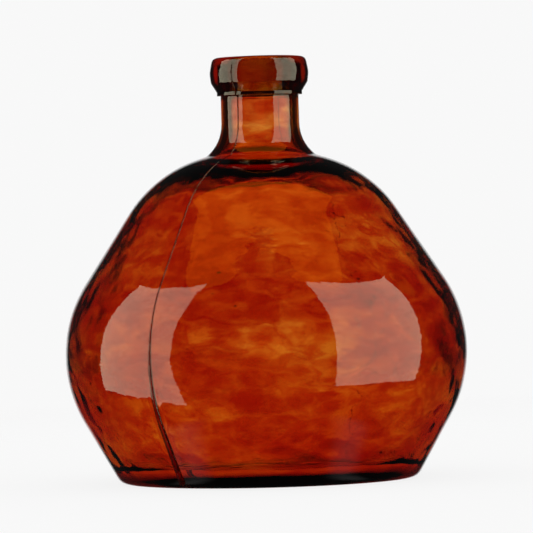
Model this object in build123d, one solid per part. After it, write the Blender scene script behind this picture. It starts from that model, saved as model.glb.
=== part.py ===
from build123d import *
import os
from math import hypot

# Bud vase: a bottle of blown glass with a wide belly, a sloping shoulder, a short neck and a thick lip ring.
#
# Frame: the vase stands on Z = 0 with its neck axis on Z. Units are millimetres.
# The wall is drawn once, as its half section in (radius, height), and then divided where the mould that
# shapes such a bottle can be divided: the base plate, the belly's two halves at its widest line, the flank
# above them, the shoulder, the neck and the lip ring. They meet face to face.
# The two thin seams that the closing mould leaves on the outside are a part of their own.

# ---- driving dimensions ----
HEIGHT = 230.0
HEEL_RADIUS = 80.8  # where the lower flank would meet the table
NECK_RADIUS = 21.3  # outside of the neck
BORE_RADIUS = 17.5  # inside of the neck and the mouth
LIP_FOOT = 209.0  # height of the lip ring's lower edge

# The outside of the body, as corners (radius, height, rounding), from the heel to the neck.
# The belly's rounding brings its widest radius down to 109.
BODY = [
    (HEEL_RADIUS, 0.0, 6.0),
    (121.7, 71.7, 72.8),
    (58.4, 168.4, 70.0),
    (29.7, 176.5, 5.0),
    (NECK_RADIUS, 184.8, 22.0),
]

# The lip ring, from its foot up: a short skirt, a swelling and a rounded rim.
SKIRT_RADIUS = 23.3
LIP = [
    (NECK_RADIUS, LIP_FOOT, 0.5),
    (SKIRT_RADIUS, LIP_FOOT, 0.3),
    (SKIRT_RADIUS, LIP_FOOT + 2.0, 1.0),
    (26.4, LIP_FOOT + 7.0, 2.5),
    (27.1, LIP_FOOT + 12.5, 12.0),
    (25.4, HEIGHT, 3.0),
]
MOUTH_ROUNDING = 3.0  # inner edge of the rim

# Wall thickness at the foot and the head of each straight run of the body: lower flank, upper flank,
# shoulder slope, neck flare. The glass is thickest low down and at the foot of the neck.
WALLS = [(6.5, 5.8), (5.4, 4.6), (5.2, 7.8), (6.5, 3.8)]
FLOOR = 8.0  # inside floor above the table, at its edge
HOLLOW_ROUNDINGS = [12.0, 67.0, 47.0, 10.0, 26.0]  # inner heel, belly, shoulder, foot of the flare, bore
PUSH_UP_RISE = 4.0  # how far the middle of the base is pushed up, inside and out
PUSH_UP_RADIUS = 60.0  # where the pushed-up area meets the table

# Heights where one zone of the glass ends and the next begins.
ZONES = {
    "base": (0.0, 15.0),
    "lower_belly": (15.0, 70.0),
    "upper_belly": (70.0, 112.0),
    "flank": (112.0, 150.0),
    "shoulder": (150.0, 177.0),
    "neck": (177.0, LIP_FOOT),
    "lip_ring": (LIP_FOOT, HEIGHT),
}

# Mould seams: two fins on opposite sides, from just above the table to just below the rim.
SEAM_ANGLE = 56.0  # degrees from +X
SEAM_PROUD = 0.4
SEAM_WIDTH = 0.8
SEAM_SPAN = (3.0, 226.0)


def shifted(start, end, depths):
    """The run from start to end, moved to its left, which is into the glass, by a depth at each end."""
    length = hypot(end[0] - start[0], end[1] - start[1])
    left = (start[1] - end[1]) / length, (end[0] - start[0]) / length
    return [(x + depth * left[0], y + depth * left[1]) for (x, y), depth in zip((start, end), depths)]


def meet(run_a, run_b):
    """The point where two straight runs would meet."""
    (ax, ay), (bx, by) = run_a
    (cx, cy), (dx, dy) = run_b
    ux, uy, vx, vy = bx - ax, by - ay, dx - cx, dy - cy
    along = ((cx - ax) * vy - (cy - ay) * vx) / (ux * vy - uy * vx)
    return ax + along * ux, ay + along * uy


def area(corners, low, high):
    """The area between the axis and a path of corners, which leaves the axis at low and returns at high."""
    points = [(0, low)] + [corner[:2] for corner in corners] + [(0, high)]
    path = FilletPolyline(*points, radius=[corner[2] for corner in corners])
    return make_face([path, Line((0, high), (0, low))])


def band(low, high):
    """A strip of the half section between two heights, wider than the vase."""
    width = 2 * HEEL_RADIUS
    return Pos(width / 2, (low + high) / 2) * Rectangle(width, high - low)


def push_up(level):
    """A disc whose cap rises PUSH_UP_RISE above level at the axis."""
    radius = (PUSH_UP_RADIUS**2 + PUSH_UP_RISE**2) / (2 * PUSH_UP_RISE)
    return Pos(0, level + PUSH_UP_RISE - radius) * Circle(radius)


def cavity():
    """The half section of the hollow: the outside moved in by each wall, and the bore up to the rim."""
    runs = [[(0, FLOOR), (HEEL_RADIUS, FLOOR)]]
    for start, end, wall in zip(BODY, BODY[1:], WALLS):
        runs.append(shifted(start[:2], end[:2], wall))
    runs.append([(BORE_RADIUS, LIP_FOOT), (BORE_RADIUS, HEIGHT)])
    corners = [(*meet(a, b), r) for a, b, r in zip(runs, runs[1:], HOLLOW_ROUNDINGS)]
    corners.append((BORE_RADIUS, HEIGHT, 0.0))
    return area(corners, FLOOR, HEIGHT) - push_up(FLOOR)


def zone(section, low, high):
    """One zone of the glass, turned about the axis."""
    return revolve(Plane.XZ * (section & band(low, high)), axis=Axis.Z)


def mould_seams(outside):
    """The two fins that stand on the outside where the mould halves close."""
    profile = (offset(outside, SEAM_PROUD) - outside) & band(*SEAM_SPAN)
    fin = extrude(Plane.XZ * profile, SEAM_WIDTH / 2, both=True)
    return Compound(children=[Rot(0, 0, SEAM_ANGLE + turn) * fin for turn in (0, 180)])


outside = area(BODY + LIP, 0.0, HEIGHT)
glass = outside - cavity() - push_up(0.0)
mouth_edge = glass.vertices().sort_by_distance((BORE_RADIUS, HEIGHT, 0))[0]
glass = fillet(mouth_edge, MOUTH_ROUNDING)

parts = {name: zone(glass, *heights) for name, heights in ZONES.items()}
parts["mould_seams"] = mould_seams(outside)

os.makedirs("parts", exist_ok=True)
for name, shape in parts.items():
    export_step(shape, f"parts/{name}.step")
    print(name, "solids", len(shape.solids()), "volume", round(shape.volume))
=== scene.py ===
# %% Load the frame
import math
import bmesh
import bpy
import numpy as np
from mathutils import Matrix, Vector


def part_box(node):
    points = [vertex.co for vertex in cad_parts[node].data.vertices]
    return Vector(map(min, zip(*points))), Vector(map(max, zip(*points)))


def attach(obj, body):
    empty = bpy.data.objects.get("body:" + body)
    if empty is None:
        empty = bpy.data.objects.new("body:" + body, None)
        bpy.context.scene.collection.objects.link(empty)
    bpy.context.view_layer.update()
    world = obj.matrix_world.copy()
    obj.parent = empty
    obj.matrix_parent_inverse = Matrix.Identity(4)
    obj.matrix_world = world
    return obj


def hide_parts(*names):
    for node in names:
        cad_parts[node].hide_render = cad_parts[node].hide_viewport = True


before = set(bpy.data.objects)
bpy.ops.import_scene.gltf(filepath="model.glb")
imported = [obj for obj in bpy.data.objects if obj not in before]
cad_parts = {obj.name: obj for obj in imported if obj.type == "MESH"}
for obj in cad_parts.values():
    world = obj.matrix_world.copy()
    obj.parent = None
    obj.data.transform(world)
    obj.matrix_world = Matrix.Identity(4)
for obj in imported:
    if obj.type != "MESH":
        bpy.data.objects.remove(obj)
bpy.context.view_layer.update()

print("zones of the glass in the frame:", sorted(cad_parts))

# %% [markdown]
# # A bottle vase of amber glass, mottled like tortoiseshell
#
# The real vase is one piece of glass. A gatherer takes hot amber glass on a pipe, blows it into a mould that
# closes in two halves, and finishes the mouth with a thick ring. Nothing on it moves.
#
# What the eye sees on such a vase is less its surface than the glass itself: light that has crossed the
# back wall and the front wall, and comes out coloured. So this lesson builds the wall with a real thickness,
# fills it with an amber that swallows more light where it is thicker, and lights it from behind.
#
# Everything is in metres, and the vase stands on Z = 0 with its neck on the Z axis, as the frame has it.

# %% [markdown]
# ## The outline
#
# A blown bottle is a body of revolution, so one half section says its whole shape. The section is written
# as corners with a rounding each, as a drawing for the mould maker has it: straight runs joined by arcs.
# The lip takes its heights from the frame, so the looks can't drift from the solid model.

# %% Sizes of the outside
MM = 0.001
lip_low, lip_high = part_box("lip_ring")
HEIGHT = lip_high.z
LIP_FOOT = lip_low.z
HEEL = 80.8 * MM
NECK = 21.3 * MM
SKIRT = 23.3 * MM
BORE = 17.5 * MM

BODY = [
    (HEEL, 0.0, 6.0 * MM),
    (121.7 * MM, 71.7 * MM, 72.8 * MM),
    (58.4 * MM, 168.4 * MM, 70.0 * MM),
    (29.7 * MM, 176.5 * MM, 5.0 * MM),
    (NECK, 184.8 * MM, 22.0 * MM),
]
LIP = [
    (NECK, LIP_FOOT, 0.5 * MM),
    (SKIRT, LIP_FOOT, 0.3 * MM),
    (SKIRT, LIP_FOOT + 2.0 * MM, 1.0 * MM),
    (26.4 * MM, LIP_FOOT + 7.0 * MM, 2.5 * MM),
    (27.1 * MM, LIP_FOOT + 12.5 * MM, 12.0 * MM),
    (25.4 * MM, HEIGHT, 3.0 * MM),
    (BORE, HEIGHT, 3.0 * MM),
]
print(f"height {HEIGHT:.3f} m, lip from {LIP_FOOT:.3f} m, heel {HEEL:.4f} m, neck {NECK:.4f} m")

# %% [markdown]
# A rounded corner is an arc that touches both of its runs. Its centre lies on the line that halves the
# corner, and the arc begins and ends at the same distance from the corner on each side. With the corner's
# half angle known, one sine gives the centre and one tangent gives the two ends.


# %% Round the corners of a path
def arc(before, corner, after, rounding, step):
    """Points on the arc that rounds one corner, at most step apart."""
    back = (before - corner) / np.linalg.norm(before - corner)
    ahead = (after - corner) / np.linalg.norm(after - corner)
    half = math.acos(np.clip(back @ ahead, -1, 1)) / 2
    middle = (back + ahead) / np.linalg.norm(back + ahead)
    centre = corner + middle * rounding / math.sin(half)
    first = corner + back * rounding / math.tan(half) - centre
    sweep = math.pi - 2 * half
    turn = math.copysign(sweep, back[1] * ahead[0] - back[0] * ahead[1])
    points = []
    for a in np.linspace(0, turn, 1 + max(3, math.ceil(rounding * sweep / step))):
        spin = np.array([[math.cos(a), -math.sin(a)], [math.sin(a), math.cos(a)]])
        points.append(centre + spin @ first)
    return points


def rounded(corners, start, end, step):
    """Points along a path of (radius, height, rounding) corners between two plain ends."""
    stops = [np.array(stop[:2], float) for stop in (start, *corners, end)]
    points = [stops[0]]
    for before, corner, after, (_, _, rounding) in zip(stops, stops[1:], stops[2:], corners):
        points += arc(before, corner, after, rounding, step)
    return points + [stops[-1]]


# %% [markdown]
# ## The inside
#
# The inside follows the outside at the wall's thickness. Each straight run is moved into the glass, and the
# new corners are where the moved runs meet.
#
# The wall isn't even. Glass runs down while it is hot, so the lower flank is thick, and it piles up where the
# shoulder closes in to the neck. That last thickening matters to the eye: the inner surface is flatter there
# than the outer one, light can't find its way through, and a black band shows round the shoulder.

# %% Sizes of the wall
FLANK_LOW, FLANK_HIGH = (6.5 * MM, 5.8 * MM), (5.4 * MM, 4.6 * MM)
SLOPE, FLARE = (5.2 * MM, 7.8 * MM), (6.5 * MM, 3.8 * MM)
WALLS = [FLANK_LOW, FLANK_HIGH, SLOPE, FLARE]  # at the foot and the head of each run, from the heel up
HOLLOW_ROUNDINGS = [26.0 * MM, 10.0 * MM, 47.0 * MM, 67.0 * MM, 12.0 * MM]  # from the bore down to the heel
FLOOR = 8.0 * MM
PUSH_UP_RISE = 4.0 * MM
PUSH_UP_RADIUS = 60.0 * MM


# %% Move the outline inwards
def moved_in(start, end, depths):
    """The straight run from start to end, moved to its left by a depth at each end: into the glass."""
    start, end = np.array(start), np.array(end)
    along = (end - start) / np.linalg.norm(end - start)
    left = np.array([-along[1], along[0]])
    return start + depths[0] * left, end + depths[1] * left


def meet(run_a, run_b):
    """Where two straight runs would meet."""
    (a, b), (c, d) = run_a, run_b
    u, v = b - a, d - c
    share = ((c[0] - a[0]) * v[1] - (c[1] - a[1]) * v[0]) / (u[0] * v[1] - u[1] * v[0])
    return a + share * u


runs = [(np.array([BORE, HEIGHT]), np.array([BORE, LIP_FOOT]))]
for low, high, walls in reversed(list(zip(BODY, BODY[1:], WALLS))):
    runs.append(moved_in(low[:2], high[:2], walls)[::-1])
runs.append((np.array([HEEL, FLOOR]), np.array([0.0, FLOOR])))
HOLLOW = [(*meet(a, b), rounding) for a, b, rounding in zip(runs, runs[1:], HOLLOW_ROUNDINGS)]
print("corners of the hollow, in mm:", [tuple(round(float(v) / MM, 1) for v in c) for c in HOLLOW])

# %% [markdown]
# ## One section for the whole wall
#
# The path starts on the axis under the base, goes out along the pushed-up bottom, up the outside, over the
# rim, down the bore and the hollow, and back to the axis on the inner floor. A bottle's base is pushed up in
# the middle so that it stands on a ring and doesn't rock.
#
# Long runs get points in between, because the glass will be made uneven later, and only points can move.

# %% The section's points
SECTION_STEP = 2.6 * MM


def push_up(level):
    """Points of the pushed-up middle of the base, from the axis out, on an arc."""
    radius = (PUSH_UP_RADIUS**2 + PUSH_UP_RISE**2) / (2 * PUSH_UP_RISE)
    centre = level + PUSH_UP_RISE - radius
    turns = np.linspace(0, math.asin(PUSH_UP_RADIUS / radius), 24)
    return [np.array([radius * math.sin(a), centre + radius * math.cos(a)]) for a in turns]


def filled(points, step):
    """The same path with extra points, so that no two are further apart than step."""
    path = [points[0]]
    for start, end in zip(points, points[1:]):
        gaps = max(1, math.ceil(np.linalg.norm(end - start) / step))
        path += [start + (end - start) * i / gaps for i in range(1, gaps + 1)]
    return path


outside = push_up(0.0)[:-1] + rounded(BODY + LIP[:-1], (PUSH_UP_RADIUS, 0.0), LIP[-1], SECTION_STEP)[:-1]
inside = rounded([LIP[-1]] + HOLLOW, LIP[-2], (PUSH_UP_RADIUS, FLOOR), SECTION_STEP)[1:]
inside += push_up(FLOOR)[-2::-1]
outer_side = filled(outside, SECTION_STEP)
section = outer_side + filled([outer_side[-1]] + inside, SECTION_STEP)[1:]
print(f"the section has {len(section)} points, {len(outer_side)} of them outside")

# %% [markdown]
# ## Helpers for node trees
#
# The next steps grow the glass and its finish from node trees. A tree could be drawn by hand in the editor.
# Written out, it can be read, changed and built again, so a few small helpers make the trees, their named
# inputs and their nodes.

# %% Helpers for node trees
GEOMETRY, NUMBER, COLOUR = "NodeSocketGeometry", "NodeSocketFloat", "NodeSocketColor"


def new_tree(name, kind, inputs, outputs):
    """An empty node tree. inputs maps a name to (socket type, default or None), outputs a name to a type."""
    tree = bpy.data.node_groups.new(name, kind)
    for label, (socket_type, default) in inputs.items():
        socket = tree.interface.new_socket(label, in_out="INPUT", socket_type=socket_type)
        if default is not None:
            socket.default_value = default
    for label, socket_type in outputs.items():
        tree.interface.new_socket(label, in_out="OUTPUT", socket_type=socket_type)
    return tree


def node(tree, kind, inputs=(), **settings):
    """A node with its settings, and its inputs given as values or as sockets to link from."""
    made = tree.nodes.new(kind)
    for key, value in settings.items():
        setattr(made, key, value)
    for key, value in dict(inputs).items():
        if isinstance(value, bpy.types.NodeSocket):
            tree.links.new(value, made.inputs[key])
        else:
            made.inputs[key].default_value = value
    return made


def maths(tree, operation, *values):
    """The result of a Math node."""
    return node(tree, "ShaderNodeMath", dict(enumerate(values)), operation=operation).outputs[0]


def times(tree, *values):
    """The product of several values."""
    result = values[0]
    for value in values[1:]:
        result = maths(tree, "MULTIPLY", result, value)
    return result


def vector(tree, operation, *values, output="Vector"):
    """The result of a Vector Math node."""
    return node(tree, "ShaderNodeVectorMath", dict(enumerate(values)), operation=operation).outputs[output]


def scaled(tree, arrow, factor):
    """A vector times a number."""
    return node(tree, "ShaderNodeVectorMath", {0: arrow, "Scale": factor}, operation="SCALE").outputs[0]


def faded(tree, value, start, end, low, high):
    """value mapped smoothly from start..end to low..high, and held beyond them."""
    mapped = node(tree, "ShaderNodeMapRange", {
        "Value": value, "From Min": start, "From Max": end, "To Min": low, "To Max": high,
    }, interpolation_type="SMOOTHSTEP")
    return mapped.outputs[0]


# %% Helpers for pieces
def line_object(name, points, side=None):
    """A mesh of points joined into one line, with a number named hollow stored at each point."""
    mesh = bpy.data.meshes.new(name)
    steps = [(i, i + 1) for i in range(len(points) - 1)]
    mesh.from_pydata([tuple(float(v) for v in point) for point in points], steps, [])
    if side:
        mesh.attributes.new("hollow", "FLOAT", "POINT").data.foreach_set("value", side)
    made = bpy.data.objects.new(name, mesh)
    bpy.context.scene.collection.objects.link(made)
    return made


def grow(thing, tree, values):
    """Runs a Geometry Nodes tree on an object, with its inputs set by name, and keeps the plain mesh."""
    modifier = thing.modifiers.new(tree.name, "NODES")
    modifier.node_group = tree
    for item in tree.interface.items_tree:
        if item.in_out == "INPUT" and item.name in values:
            modifier[item.identifier] = values[item.name]
    graph = bpy.context.evaluated_depsgraph_get()
    made = bpy.data.meshes.new_from_object(
        thing.evaluated_get(graph), preserve_all_data_layers=True, depsgraph=graph
    )
    thing.modifiers.remove(modifier)
    thing.data = made
    made.name = thing.name


def report(thing):
    """Prints a piece's size, and whether its mesh is closed and points outwards."""
    mesh = bmesh.new()
    mesh.from_mesh(thing.data)
    triangles = sum(len(face.verts) - 2 for face in mesh.faces)
    open_edges = sum(len(edge.link_faces) != 2 for edge in mesh.edges)
    volume = mesh.calc_volume(signed=True) / MM**3 / 1000
    mesh.free()
    print(f"{thing.name}: {triangles} triangles, {open_edges} open edges, {volume:.1f} cm3 of glass")


# %% [markdown]
# ## Glass isn't even
#
# Where the hot glass met the mould it took the mould's smooth shape. On the inside nothing touched it, so the
# wall runs thick and thin: broad swells a few centimetres across, and smaller ripples on them. A thick spot
# is also a darker spot, and that is where the cloudy pattern of the vase comes from.
#
# Two noise fields move the inner points along their normals, one for the swells and one for the ripples. The
# neck was worked with a tool, so the effect fades out towards it. The outside gets only a faint wave, and a
# low keel that grows along the mould's front closing line towards the heel, where the two halves of the
# mould squeezed the glass. The other closing line shut more tightly and has no keel.

# %% Sizes of the unevenness
SWELL_HEIGHT, SWELL_SIZE = 1.2 * MM, 30.0 * MM
RIPPLE_HEIGHT, RIPPLE_SIZE = 0.3 * MM, 10.0 * MM
SKIN_HEIGHT, SKIN_SIZE = 0.3 * MM, 34.0 * MM
KEEL_HEIGHT, KEEL_WIDTH = 0.9 * MM, 3.5 * MM
SEAM_ANGLE = math.radians(56)
FRONT_SEAM = (math.cos(SEAM_ANGLE + math.pi), math.sin(SEAM_ANGLE + math.pi), 0.0)
PATTERN = 4.0  # which of the noise's many patterns the vase has
FLATTENED = (1.0, 1.0, 1.6)  # clouds lie a little flatter than wide, as the glass was spun


def uneven(tree, place, size, seed, detail):
    """Noise from about -1 to 1, with features of the given size. place is a position socket."""
    noise = node(tree, "ShaderNodeTexNoise", {
        "Vector": place, "W": seed, "Scale": maths(tree, "DIVIDE", 1.0, size),
        "Detail": detail, "Roughness": 0.55,
    }, noise_dimensions="4D")
    return maths(tree, "MULTIPLY_ADD", noise.outputs[0], 2.0, -1.0)


# %% [markdown]
# ## Turning the section
#
# The section becomes a mesh of points and edges, and Geometry Nodes turn it: Curve to Mesh sweeps it round
# a circle so small that it is the axis itself. The sweep lays the drawing's Y downwards, so the heights go
# in with a minus sign, and it leaves the faces inside out, so they are flipped. The number named hollow
# travels with the sweep and says which side of the wall a point is on: 0 outside, 1 inside.
#
# A lathe made with the Screw modifier would give the same surface. The tree is better here, because the
# unevenness and the air bubbles grow in the same tree, from the same inputs.

# %% Geometry nodes: turn the section about the axis
COLUMNS = 270
ON_AXIS = 0.001 * MM


def turned_section(tree, given):
    """The section swept round the axis, with its two poles closed."""
    line = node(tree, "GeometryNodeMeshToCurve", {"Mesh": given["Section"]})
    ring = node(tree, "GeometryNodeCurvePrimitiveCircle", {"Resolution": given["Columns"], "Radius": ON_AXIS})
    sweep = node(tree, "GeometryNodeCurveToMesh", {
        "Curve": ring.outputs[0], "Profile Curve": line.outputs[0],
    })
    outward = node(tree, "GeometryNodeFlipFaces", {"Mesh": sweep.outputs[0]})
    closed = node(tree, "GeometryNodeMergeByDistance", {
        "Geometry": outward.outputs[0], "Distance": 10 * ON_AXIS,
    })
    return closed.outputs[0]


# %% Geometry nodes: make the wall uneven
NECK_STARTS, NECK_ENDS = 0.150, 0.190  # heights over which the hand-worked unevenness fades out
LEFT_AT_NECK = 0.12  # the share of it that stays in the neck
KEEL_FULL, KEEL_GONE = 0.020, 0.115  # heights between which the keel dies away
FOOT_FLAT, FOOT_FREE = 0.002, 0.030  # heights over which the outside may start to wave, above its flat foot


def uneven_wall(tree, given, wall):
    """The turned wall, with its inside swelling and its outside faintly waved and keeled."""
    place = node(tree, "GeometryNodeInputPosition").outputs[0]
    normal = node(tree, "GeometryNodeInputNormal").outputs[0]
    height = node(tree, "ShaderNodeSeparateXYZ", {0: place}).outputs[2]
    hollow = node(tree, "GeometryNodeInputNamedAttribute", {"Name": "hollow"}, data_type="FLOAT").outputs[0]

    flattened = vector(tree, "MULTIPLY", place, FLATTENED)
    swell_noise = uneven(tree, flattened, given["Swell size"], given["Pattern"], 2.0)
    ripple_noise = uneven(tree, flattened, given["Ripple size"], given["Pattern"], 3.0)
    swell = times(tree, swell_noise, given["Swell height"])
    ripple = times(tree, ripple_noise, given["Ripple height"])
    below_neck = faded(tree, height, NECK_STARTS, NECK_ENDS, 1.0, LEFT_AT_NECK)
    inwards = times(tree, maths(tree, "ADD", swell, ripple), hollow, below_neck)

    skin = times(tree, uneven(tree, place, given["Skin size"], given["Pattern"], 1.0), given["Skin height"])
    across = (-math.sin(SEAM_ANGLE), math.cos(SEAM_ANGLE), 0.0)
    from_seam = maths(tree, "ABSOLUTE", vector(tree, "DOT_PRODUCT", place, across, output="Value"))
    crest = faded(tree, maths(tree, "DIVIDE", from_seam, given["Keel width"]), 0.0, 1.0, 1.0, 0.0)
    towards_front = vector(tree, "DOT_PRODUCT", place, FRONT_SEAM, output="Value")
    on_front = faded(tree, towards_front, 0.0, 30.0 * MM, 0.0, 1.0)
    low = faded(tree, height, KEEL_FULL, KEEL_GONE, 1.0, 0.0)
    keel = times(tree, crest, on_front, given["Keel height"], low)
    off_the_table = faded(tree, height, FOOT_FLAT, FOOT_FREE, 0.0, 1.0)
    on_outside = maths(tree, "SUBTRACT", 1.0, hollow)
    outwards = times(tree, maths(tree, "ADD", skin, keel), on_outside, off_the_table)

    shift = scaled(tree, normal, maths(tree, "ADD", inwards, outwards))
    return node(tree, "GeometryNodeSetPosition", {"Geometry": wall, "Offset": shift}).outputs[0]


# %% [markdown]
# Hand-made glass holds seeds, which are small air bubbles drawn long by the blowing. Each is a ball set a
# little way into the wall. It is a ball of air, so its faces are flipped: they point into the air, as all
# faces of the glass do. A random number picks the size, raised to a power so that most seeds are tiny.

# %% Geometry nodes: set the seeds into the wall
SEED_DEPTH = 1.6 * MM
SEED_STRETCH = 1.6
SEEDS_PER_AREA = 400.0
LARGEST_SEED = 0.8 * MM
SEEDS_FROM, SEEDS_TO = 0.012, 0.165


def seeds(tree, given, wall):
    """Instances of small bubbles, scattered under the outer skin."""
    place = node(tree, "GeometryNodeInputPosition").outputs[0]
    height = node(tree, "ShaderNodeSeparateXYZ", {0: place}).outputs[2]
    hollow = node(tree, "GeometryNodeInputNamedAttribute", {"Name": "hollow"}, data_type="FLOAT").outputs[0]
    on_skin = times(
        tree, maths(tree, "LESS_THAN", hollow, 0.5),
        maths(tree, "GREATER_THAN", height, SEEDS_FROM), maths(tree, "LESS_THAN", height, SEEDS_TO),
    )
    spots = node(tree, "GeometryNodeDistributePointsOnFaces", {
        "Mesh": wall, "Selection": on_skin, "Density": given["Seeds per square metre"], "Seed": 7,
    }).outputs
    sunk = scaled(tree, spots["Normal"], -SEED_DEPTH)
    set_in = node(tree, "GeometryNodeSetPosition", {"Geometry": spots["Points"], "Offset": sunk})
    ball = node(tree, "GeometryNodeMeshIcoSphere", {"Radius": 1.0, "Subdivisions": 2})
    air = node(tree, "GeometryNodeFlipFaces", {"Mesh": ball.outputs[0]})
    pick = node(tree, "FunctionNodeRandomValue", {"Min": 0.25, "Max": 1.0, "Seed": 11}, data_type="FLOAT")
    chance = [socket for socket in pick.outputs if socket.enabled][0]
    size = times(tree, maths(tree, "POWER", chance, 2.5), given["Largest seed"])
    length = times(tree, size, SEED_STRETCH)
    drawn = node(tree, "ShaderNodeCombineXYZ", {0: length, 1: size, 2: size}).outputs[0]
    return node(tree, "GeometryNodeInstanceOnPoints", {
        "Points": set_in.outputs[0], "Instance": air.outputs[0],
        "Rotation": spots["Rotation"], "Scale": drawn,
    }).outputs[0]


# %% Geometry nodes: the whole glass
def finished_mesh(tree, material, *shapes):
    """Ends a tree: joins its shapes, smooths them, makes instances real and gives them their material."""
    joined = node(tree, "GeometryNodeJoinGeometry")
    for shape in shapes:
        tree.links.new(shape, joined.inputs[0])
    smooth = node(tree, "GeometryNodeSetShadeSmooth", {"Geometry": joined.outputs[0]})
    real = node(tree, "GeometryNodeRealizeInstances", {"Geometry": smooth.outputs[0]})
    finished = node(tree, "GeometryNodeSetMaterial", {"Geometry": real.outputs[0], "Material": material})
    node(tree, "NodeGroupOutput", {"Mesh": finished.outputs[0]})


def glass_tree():
    """The vase from its section: turned, made uneven and seeded with air."""
    lengths = ["Swell height", "Swell size", "Ripple height", "Ripple size", "Skin height", "Skin size",
               "Keel height", "Keel width", "Largest seed"]
    inputs = {"Section": (GEOMETRY, None), "Columns": ("NodeSocketInt", 64)}
    inputs |= {label: (NUMBER, MM) for label in lengths}
    inputs |= {"Seeds per square metre": (NUMBER, 0.0), "Pattern": (NUMBER, 0.0)}
    inputs |= {"Glass": ("NodeSocketMaterial", None)}
    tree = new_tree("Turned glass", "GeometryNodeTree", inputs, {"Mesh": GEOMETRY})
    given = node(tree, "NodeGroupInput").outputs
    wall = uneven_wall(tree, given, turned_section(tree, given))
    finished_mesh(tree, given["Glass"], seeds(tree, given, wall), wall)
    return tree


# %% [markdown]
# ## The amber glass
#
# The colour of thick glass isn't on its surface. Light loses a share of itself in every millimetre, and amber
# glass takes blue very fast, green slower and red slowest. So a thin wall is honey yellow, a thicker one
# orange, and a thick one dark red, with no paint anywhere. A Volume Absorption node does just that.
#
# On top of it, the glass is streaky, because the colour was never stirred in evenly. A noise group tints the
# light a little darker in flat clouds, and gives the surface its faint orange-peel bump. The same group tints
# the lip ring darker: painted shade, for the dark its thick glass shows against the room. The ring that a
# bottle stands on is scuffed, so a mask makes it rough there, and the roughness scatters light in. The middle
# of the base is pushed up and never touches the table: it stays clear, and looks dark from the side.

# %% Shader group: cloudy streaks
CLOUDS_FLATTENED = (1.0, 1.0, 2.2)
BANDS_FLATTENED = (0.3, 0.3, 1.0)
PEEL_TO_CLOUD = 3.0  # the peel of the surface is this much finer than the clouds
NOISE_SPREAD = 0.12  # how far from its middle the noise goes from one colour to the other, at contrast 1
LIP_BLEND = 0.002
CLEAR = (1.0, 1.0, 1.0, 1.0)


def noise_share(tree, place, stretch, size, contrast, detail):
    """Noise between 0 and 1 on a stretched place; a high contrast leaves little between the two."""
    flattened = node(tree, "ShaderNodeMapping", {"Vector": place, "Scale": stretch}).outputs[0]
    noise = node(tree, "ShaderNodeTexNoise", {
        "Vector": flattened, "Scale": maths(tree, "DIVIDE", 1.0, size), "Detail": detail, "Roughness": 0.5,
        "Distortion": 0.2,
    }).outputs[0]
    half = maths(tree, "DIVIDE", NOISE_SPREAD, contrast)
    return faded(tree, noise, maths(tree, "SUBTRACT", 0.5, half), maths(tree, "ADD", 0.5, half), 0.0, 1.0)


def streaks_group():
    """Flat clouds of tint, and broader bands of it round the body, from a pale glass to a dark streak."""
    tree = new_tree("Glass streaks", "ShaderNodeTree", {
        "Cloud size": (NUMBER, 0.01), "Band size": (NUMBER, 0.03), "Contrast": (NUMBER, 1.0),
        "Clear": (COLOUR, (1, 1, 1, 1)), "Cloud": (COLOUR, (1, 1, 1, 1)), "Band": (COLOUR, (1, 1, 1, 1)),
        "Lip": (COLOUR, (1, 1, 1, 1)), "Lip foot": (NUMBER, 0.2),
    }, {"Tint": COLOUR, "Height": NUMBER})
    given = node(tree, "NodeGroupInput").outputs
    place = node(tree, "ShaderNodeTexCoord").outputs["Object"]
    clouds = noise_share(tree, place, CLOUDS_FLATTENED, given["Cloud size"], given["Contrast"], 4.0)
    bands = noise_share(tree, place, BANDS_FLATTENED, given["Band size"], given["Contrast"], 2.0)
    cloudy = node(tree, "ShaderNodeMix", {0: clouds, 6: given["Clear"], 7: given["Cloud"]}, data_type="RGBA")
    height = node(tree, "ShaderNodeSeparateXYZ", {0: place}).outputs[2]
    # Above the lip's foot the tint turns to the Lip colour, which darkens the lip ring: painted shade.
    at_lip = faded(tree, maths(tree, "SUBTRACT", height, given["Lip foot"]), -LIP_BLEND, LIP_BLEND, 0.0, 1.0)
    body = node(tree, "ShaderNodeMix", {0: at_lip, 6: CLEAR, 7: given["Lip"]}, data_type="RGBA")
    banded = node(tree, "ShaderNodeMix", {0: bands, 6: body.outputs[2], 7: given["Band"]}, data_type="RGBA")
    tint = node(tree, "ShaderNodeMix", {0: 1.0, 6: cloudy.outputs[2], 7: banded.outputs[2]},
                data_type="RGBA", blend_type="MULTIPLY")
    scale = maths(tree, "DIVIDE", PEEL_TO_CLOUD, given["Cloud size"])
    peel = node(tree, "ShaderNodeTexNoise", {"Vector": place, "Scale": scale, "Detail": 2.0}).outputs[0]
    node(tree, "NodeGroupOutput", {"Tint": tint.outputs[2], "Height": peel})
    return tree


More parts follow.
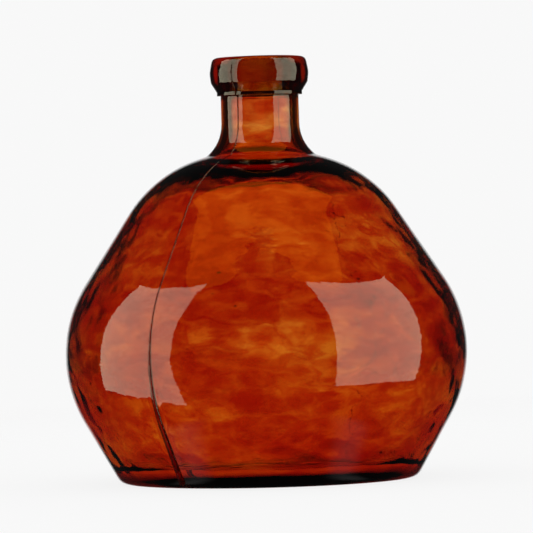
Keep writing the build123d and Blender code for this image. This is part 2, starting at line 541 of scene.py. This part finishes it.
def foot_group():
    """The roughness of the scuffed ring the vase stands on, and 0 everywhere else."""
    tree = new_tree("Scuffed foot", "ShaderNodeTree", {
        "Height": (NUMBER, 0.005), "Inner radius": (NUMBER, 0.05), "Outer radius": (NUMBER, 0.07),
        "Roughness": (NUMBER, 0.5),
    }, {"Roughness": NUMBER})
    given = node(tree, "NodeGroupInput").outputs
    place = node(tree, "ShaderNodeTexCoord").outputs["Object"]
    height = node(tree, "ShaderNodeSeparateXYZ", {0: place}).outputs[2]
    out = vector(tree, "LENGTH", vector(tree, "MULTIPLY", place, (1.0, 1.0, 0.0)), output="Value")
    low = maths(tree, "LESS_THAN", height, given["Height"])
    outer, inner = given["Outer radius"], given["Inner radius"]
    within = faded(tree, out, maths(tree, "SUBTRACT", outer, 6.0 * MM), outer, 1.0, 0.0)
    beyond = faded(tree, out, inner, maths(tree, "ADD", inner, 10.0 * MM), 0.0, 1.0)
    node(tree, "NodeGroupOutput", {"Roughness": times(tree, low, within, beyond, given["Roughness"])})
    return tree


streaks, scuffed_foot = streaks_group(), foot_group()


# %% The material
AMBER = (0.912, 0.615, 0.024, 1.0)  # what the glass lets through
AMBER_DENSITY = 450.0  # per metre of glass
SEAM_PAINTED_SHADE_DENSITY = 3500.0  # far denser than the body's glass, so the seam looks nearly black: painted shade for the dark line that a glass ridge draws by refraction
GLASS_IOR = 1.52
CLOUD, BAND = (0.8, 0.34, 0.2, 1.0), (0.84, 0.42, 0.3, 1.0)
LIP_PAINTED_SHADE = (0.62, 0.76, 0.7, 1.0)  # painted shade: darkens the light through the lip ring, for the dark its thick glass shows against the room
CLOUD_SIZE, BAND_SIZE, STREAK_CONTRAST = 16.0 * MM, 30.0 * MM, 1.2
SCUFFED_RING = {"Height": 4.3 * MM, "Inner radius": 50.0 * MM, "Outer radius": 79.0 * MM, "Roughness": 0.6}
PEEL_STRENGTH, PEEL_HEIGHT = 0.1, 0.4 * MM


def amber_glass(name, density):
    """Clear amber glass: a smooth refracting surface round an absorbing inside."""
    material = bpy.data.materials.new(name)
    material.use_nodes = True
    tree = material.node_tree
    tree.nodes.clear()
    cloud = node(tree, "ShaderNodeGroup", node_tree=streaks)
    # Lip is the lip ring's darker tint: painted shade.
    given = {
        "Cloud size": CLOUD_SIZE, "Band size": BAND_SIZE, "Contrast": STREAK_CONTRAST,
        "Clear": CLEAR, "Cloud": CLOUD, "Band": BAND, "Lip": LIP_PAINTED_SHADE, "Lip foot": LIP_FOOT,
    }
    for label, value in given.items():
        cloud.inputs[label].default_value = value
    foot = node(tree, "ShaderNodeGroup", node_tree=scuffed_foot)
    for label, value in SCUFFED_RING.items():
        foot.inputs[label].default_value = value
    bump = node(tree, "ShaderNodeBump", {
        "Height": cloud.outputs["Height"], "Strength": PEEL_STRENGTH, "Distance": PEEL_HEIGHT,
    })
    surface = node(tree, "ShaderNodeBsdfPrincipled", {
        "Base Color": cloud.outputs["Tint"], "Normal": bump.outputs[0], "Roughness": foot.outputs[0],
        "IOR": GLASS_IOR, "Transmission Weight": 1.0,
    })
    thick = node(tree, "ShaderNodeVolumeAbsorption", {"Color": AMBER, "Density": density})
    node(tree, "ShaderNodeOutputMaterial", {"Surface": surface.outputs[0], "Volume": thick.outputs[0]})
    return material


glass_finish = amber_glass("Amber glass", AMBER_DENSITY)
# The seams get the same glass with a far denser absorption, so they show nearly black: painted shade,
# standing for the dark line that refraction draws along a glass ridge.
seam_painted_dark_glass = amber_glass("Seam glass with painted shade", SEAM_PAINTED_SHADE_DENSITY)

# %% Make the glass
INNER_FROM = len(outer_side) + 6  # the first point past the rim's rounding
sides = [float(i > INNER_FROM) for i in range(len(section))]
vase = line_object("vase_glass", [(r, -z, 0.0) for r, z in section], sides)
grow(vase, glass_tree(), {
    "Columns": COLUMNS, "Swell height": SWELL_HEIGHT, "Swell size": SWELL_SIZE,
    "Ripple height": RIPPLE_HEIGHT, "Ripple size": RIPPLE_SIZE, "Skin height": SKIN_HEIGHT,
    "Skin size": SKIN_SIZE, "Keel height": KEEL_HEIGHT, "Keel width": KEEL_WIDTH,
    "Seeds per square metre": SEEDS_PER_AREA, "Largest seed": LARGEST_SEED, "Pattern": PATTERN,
    "Glass": glass_finish,
})
report(vase)

# %% [markdown]
# ## The mould seams
#
# Where the two halves of the mould close, a hair of glass is squeezed out. It stays as a fine raised line
# that runs from the foot, up the body and the neck, to just under the rim, once on each side.
#
# The line follows the outline, so the tree sweeps a small ring along a stretch of the same section, stood up
# at the seam's angle. The front seam is thickest at the heel, where the mould closes last, and thins upwards.
# The far one is half as thick all the way: it's seen through two walls, where a thick one reads as a crack.
# Both beads are glass that absorbs far faster than the body's, so they show nearly black: painted shade for
# the dark line that refraction draws along a ridge.

# %% Geometry nodes: a bead along a line
BEAD = 0.4 * MM
BEAD_SIDES = 10
BEAD_LOW, BEAD_HIGH = 3.0 * MM, HEIGHT - 4.0 * MM
HEEL_SWELLING = 4.2
FAR_SIDE = 0.5  # the far seam's thickness, as a share of the front one's
SWOLLEN_TO, SWELLING_GONE = 0.010, 0.120  # heights between which the swelling dies away


def bead_tree():
    """A closed round bead along each line, thicker near the foot."""
    tree = new_tree("Seam bead", "GeometryNodeTree", {
        "Lines": (GEOMETRY, None), "Radius": (NUMBER, MM), "Swelling": (NUMBER, 1.0),
        "Far side": (NUMBER, 1.0), "Sides": ("NodeSocketInt", 8), "Glass": ("NodeSocketMaterial", None),
    }, {"Mesh": GEOMETRY})
    given = node(tree, "NodeGroupInput").outputs
    place = node(tree, "GeometryNodeInputPosition").outputs[0]
    height = node(tree, "ShaderNodeSeparateXYZ", {0: place}).outputs[2]
    towards_front = vector(tree, "DOT_PRODUCT", place, FRONT_SEAM, output="Value")
    front = maths(tree, "GREATER_THAN", towards_front, 0.0)
    swollen = maths(tree, "SUBTRACT", given["Swelling"], 1.0)
    extra = times(tree, front, faded(tree, height, SWOLLEN_TO, SWELLING_GONE, swollen, 0.0))
    even = node(tree, "ShaderNodeMix", {0: front, 2: given["Far side"], 3: 1.0}, data_type="FLOAT").outputs[0]
    line = node(tree, "GeometryNodeMeshToCurve", {"Mesh": given["Lines"]})
    ring = node(tree, "GeometryNodeCurvePrimitiveCircle", {
        "Resolution": given["Sides"], "Radius": given["Radius"],
    })
    bead = node(tree, "GeometryNodeCurveToMesh", {
        "Curve": line.outputs[0], "Profile Curve": ring.outputs[0], "Fill Caps": True,
        "Scale": maths(tree, "ADD", extra, even),
    })
    finished_mesh(tree, given["Glass"], bead.outputs[0])
    return tree


# %% Make the seams
seam_line = [point for point in outer_side if BEAD_LOW < point[1] < BEAD_HIGH and point[0] > NECK - MM]
both_sides = [
    [(r * math.cos(a), r * math.sin(a), z) for r, z in seam_line] for a in (SEAM_ANGLE, SEAM_ANGLE + math.pi)
]
seams = line_object("mould_seam_bead", both_sides[0])
other = line_object("other_side", both_sides[1])
merged = bmesh.new()
merged.from_mesh(seams.data)
merged.from_mesh(other.data)
merged.to_mesh(seams.data)
merged.free()
bpy.data.objects.remove(other)
grow(seams, bead_tree(), {
    "Radius": BEAD, "Swelling": HEEL_SWELLING, "Far side": FAR_SIDE, "Sides": BEAD_SIDES,
    # The seams' glass is darkened: painted shade.
    "Glass": seam_painted_dark_glass,
})
report(seams)

# %% [markdown]
# ## What each piece stands for
#
# The solid model divides the glass into zones, where the mould parts and where the neck was worked. The real
# glass has no walls between them, and inner faces would show as bright sheets in clear glass. So one piece
# stands for all the zones, and the seams are the other.

# %% Say what each piece is
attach(vase, "root")
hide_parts(*sorted(set(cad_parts) - {"mould_seams"}))
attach(seams, "root")
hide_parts("mould_seams")

# %% [markdown]
# ## The floor and the studio
#
# Glass shows what is round it, so its surroundings are half of its look. The vase stands on white paper that
# runs up behind it. The paper glows a little, so no shadow edge shows, and further out the floor fades into
# the white behind.

# %% The floor
PAPER = 0.94
PAPER_GREY = (0.1, 0.1, 0.1, 1.0)  # the paper's own colour, dim so that the vase casts hardly any shadow
FLOOR_RADIUS = 1.6
FLOOR_CORNERS = 64
FADE_FROM, FADE_TO = 0.35, 1.2  # distances over which the paper gives way to the white behind
SHADE_FROM, SHADE_TO = 0.15, 0.40  # and sideways, over which its glow falls off
FLOOR_DROP = 0.2 * MM  # keeps the paper clear of the foot
PAPER_GLOW = 0.905
SIDE_SHADE = 0.35  # what is left of the paper's glow far out to the sides, as the glass sees it


def floor_material():
    """White paper that glows a little and fades out with distance."""
    material = bpy.data.materials.new("Pale floor")
    material.use_nodes = True
    tree = material.node_tree
    tree.nodes.clear()
    place = node(tree, "ShaderNodeTexCoord").outputs["Object"]
    fade = faded(tree, vector(tree, "LENGTH", place, output="Value"), FADE_FROM, FADE_TO, 0.0, 1.0)
    sideways = maths(tree, "ABSOLUTE", node(tree, "ShaderNodeSeparateXYZ", {0: place}).outputs[0])
    shade = faded(tree, sideways, SHADE_FROM, SHADE_TO, 1.0, SIDE_SHADE)
    seen = node(tree, "ShaderNodeLightPath").outputs["Is Camera Ray"]
    bright = node(tree, "ShaderNodeMix", {0: seen, 2: shade, 3: 1.0}, data_type="FLOAT").outputs[0]
    matt = node(tree, "ShaderNodeBsdfDiffuse", {"Color": PAPER_GREY})
    glow = node(tree, "ShaderNodeEmission", {"Strength": times(tree, bright, PAPER * PAPER_GLOW)})
    paper = node(tree, "ShaderNodeAddShader", {0: matt.outputs[0], 1: glow.outputs[0]})
    clear = node(tree, "ShaderNodeBsdfTransparent")
    mix = node(tree, "ShaderNodeMixShader", {0: fade, 1: paper.outputs[0], 2: clear.outputs[0]})
    node(tree, "ShaderNodeOutputMaterial", {"Surface": mix.outputs[0]})
    return material


floor_mesh = bpy.data.meshes.new("floor")
turns = np.linspace(0, 2 * math.pi, FLOOR_CORNERS, endpoint=False)
rim = [(FLOOR_RADIUS * math.cos(a), FLOOR_RADIUS * math.sin(a), -FLOOR_DROP) for a in turns]
floor_mesh.from_pydata(rim, [], [range(FLOOR_CORNERS)])
floor = bpy.data.objects.new("floor", floor_mesh)
bpy.context.scene.collection.objects.link(floor)
floor.data.materials.append(floor_material())
floor.visible_glossy = False

# %% [markdown]
# A glass against plain white all round has no edges. A maker of pictures of glass stands white boards
# behind it and lets the room go dark between them: the rays that bend sideways near the outline end in the
# dark, and draw it. Here there is a board on each of the four sides, the ones front and back the brightest,
# so that the vase reads from every side. In the reflections the room is dark, but for the paper far
# behind, which lines the edges, and the table, which shows low on the flanks.
#
# Light Path nodes tell what is seen directly, what through the glass, and what by reflection. One trap lies
# here: a ray bent by smooth glass counts as a glossy ray as well as a transmission ray. So a ray is mirrored
# only if it's glossy and not a transmission ray, or the glass would see the dark room and never the boards.

# %% The room
ROOM_DARK, END_BOARDS, SIDE_BOARDS, TABLE_SHEEN = 0.02, 0.95, 0.8, 0.5
BOARD_EDGE = (0.93, 0.99)  # how squarely a ray must meet a board: none of its light, and all of it
TABLE_EDGE, TABLE_SIDES = (-0.84, -0.72), (0.45, 0.70)  # how steeply down, and how far aside, the table shows


def room():
    """White boards and dark corners for the glass to stand against."""
    world = bpy.data.worlds.new("Studio")
    world.use_nodes = True
    tree = world.node_tree
    tree.nodes.clear()
    rays = node(tree, "ShaderNodeLightPath").outputs
    towards = node(tree, "ShaderNodeTexCoord").outputs["Generated"]
    x, y, z = node(tree, "ShaderNodeSeparateXYZ", {0: towards}).outputs
    aside = maths(tree, "ABSOLUTE", x)
    ends = faded(tree, maths(tree, "ABSOLUTE", y), *BOARD_EDGE, ROOM_DARK, END_BOARDS)
    flanks = faded(tree, aside, *BOARD_EDGE, ROOM_DARK, SIDE_BOARDS)
    boards = maths(tree, "MAXIMUM", ends, flanks)
    plain = maths(tree, "MAXIMUM", rays["Is Camera Ray"], rays["Is Diffuse Ray"])
    through = node(tree, "ShaderNodeMix", {0: plain, 2: boards, 3: 1.0}, data_type="FLOAT").outputs[0]
    behind = faded(tree, y, *BOARD_EDGE, ROOM_DARK, END_BOARDS)
    below = faded(tree, z, *TABLE_EDGE, TABLE_SHEEN, 0.0)
    table = times(tree, below, faded(tree, aside, *TABLE_SIDES, 0.0, 1.0))
    mirrored = maths(tree, "SUBTRACT", rays["Is Glossy Ray"], rays["Is Transmission Ray"])
    level = node(tree, "ShaderNodeMix", {
        0: mirrored, 2: times(tree, through, PAPER), 3: maths(tree, "ADD", behind, table),
    }, data_type="FLOAT")
    air = node(tree, "ShaderNodeBackground", {"Color": (1.0, 1.0, 1.0, 1.0), "Strength": level.outputs[0]})
    node(tree, "ShaderNodeOutputWorld", {"Surface": air.outputs[0]})
    return world


bpy.context.scene.world = room()

# %% [markdown]
# Two large curved light boards stand left and right in front. The eye gets their two pale reflections on the
# belly, and nothing else of them. Each is a patch of a sphere round the vase, given by the directions of its
# four corners, because a reflection shows directions: the top edge of each board is slanted so that its
# reflection ends where the belly turns into the straight flank. A dim gold panel overhead warms the top.

# %% The light boards
LOOKED_AT = Vector((0.0, 0.0, 0.1))
BOARD_DISTANCE = 6.0
BOARD_CELLS = 12


def direction(azimuth, elevation):
    """A unit vector from the vase; azimuth 0 is the camera's side, and 90 is +X."""
    a, e = math.radians(azimuth), math.radians(elevation)
    return Vector((math.sin(a) * math.cos(e), -math.cos(a) * math.cos(e), math.sin(e)))


def light_board(name, corners, radiance, color):
    """A glowing patch between four (azimuth, elevation) corners, in order round its edge."""
    a, b, c, d = (np.array(corner, float) for corner in corners)
    rows = np.linspace(0, 1, BOARD_CELLS + 1)
    turns = [(a * (1 - u) + b * u) * (1 - v) + (d * (1 - u) + c * u) * v for v in rows for u in rows]
    points = [LOOKED_AT + BOARD_DISTANCE * direction(*turn) for turn in turns]
    width = BOARD_CELLS + 1
    starts = [row * width + column for row in range(BOARD_CELLS) for column in range(BOARD_CELLS)]
    mesh = bpy.data.meshes.new(name)
    mesh.from_pydata(points, [], [(i, i + 1, i + 1 + width, i + width) for i in starts])
    board = bpy.data.objects.new(name, mesh)
    bpy.context.scene.collection.objects.link(board)
    glow = bpy.data.materials.new(name)
    glow.use_nodes = True
    glow.node_tree.nodes.clear()
    light = node(glow.node_tree, "ShaderNodeEmission", {"Color": (*color, 1.0), "Strength": radiance})
    node(glow.node_tree, "ShaderNodeOutputMaterial", {"Surface": light.outputs[0]})
    mesh.materials.append(glow)
    board.visible_camera = board.visible_diffuse = board.visible_transmission = board.visible_shadow = False


LAMP_WHITE, GOLD = (1.0, 0.93, 0.68), (1.0, 0.2, 0.0)
LEFT_GLOW, RIGHT_GLOW, GOLD_GLOW = 2.6, 2.7, 1.6
light_board("left_board", [(-54, -36), (-110, -16), (-106, 40), (-54, 58)], LEFT_GLOW, LAMP_WHITE)
light_board("right_board", [(41, -26), (96, -17), (104, 42), (40, 61)], RIGHT_GLOW, LAMP_WHITE)


def overhead(name, elevation, distance, width, height, radiance, color):
    """A soft rectangular lamp over the camera's side, which faces the vase."""
    away = direction(0, elevation)
    light = bpy.data.lights.new(name, "AREA")
    light.shape = "RECTANGLE"
    light.size, light.size_y = width, height
    light.energy = radiance * math.pi * width * height
    light.color = color
    made = bpy.data.objects.new(name, light)
    bpy.context.scene.collection.objects.link(made)
    made.location = LOOKED_AT + distance * away
    made.rotation_euler = away.to_track_quat("Z", "Y").to_euler()
    made.visible_camera = made.visible_diffuse = made.visible_transmission = False


overhead("gold_reflector", 80, 1.0, 1.40, 0.62, GOLD_GLOW, GOLD)

# %% [markdown]
# ## The camera
#
# A long lens from a good distance, a little above the foot, as a product is usually taken: the outline stays
# true, and the foot and the mouth show as thin ovals.

# %% The camera
scene = bpy.context.scene
lens = bpy.data.cameras.new("camera")
lens.lens, lens.sensor_width, lens.clip_end = 303.0, 36.0, 50.0
camera = bpy.data.objects.new("camera", lens)
scene.collection.objects.link(camera)
eye, aim, lean = Vector((0.0013, -2.44, 0.137)), Vector((0.0013, 0.0, 0.116)), math.radians(-1.5)
turn = (eye - aim).to_track_quat("Z", "Y").to_matrix().to_4x4()
camera.matrix_world = Matrix.Translation(eye) @ turn @ Matrix.Rotation(lean, 4, "Z")
scene.camera = camera
scene.view_settings.view_transform = "Standard"
scene.cycles.max_bounces = 24
scene.cycles.transmission_bounces = 24
scene.cycles.glossy_bounces = 8
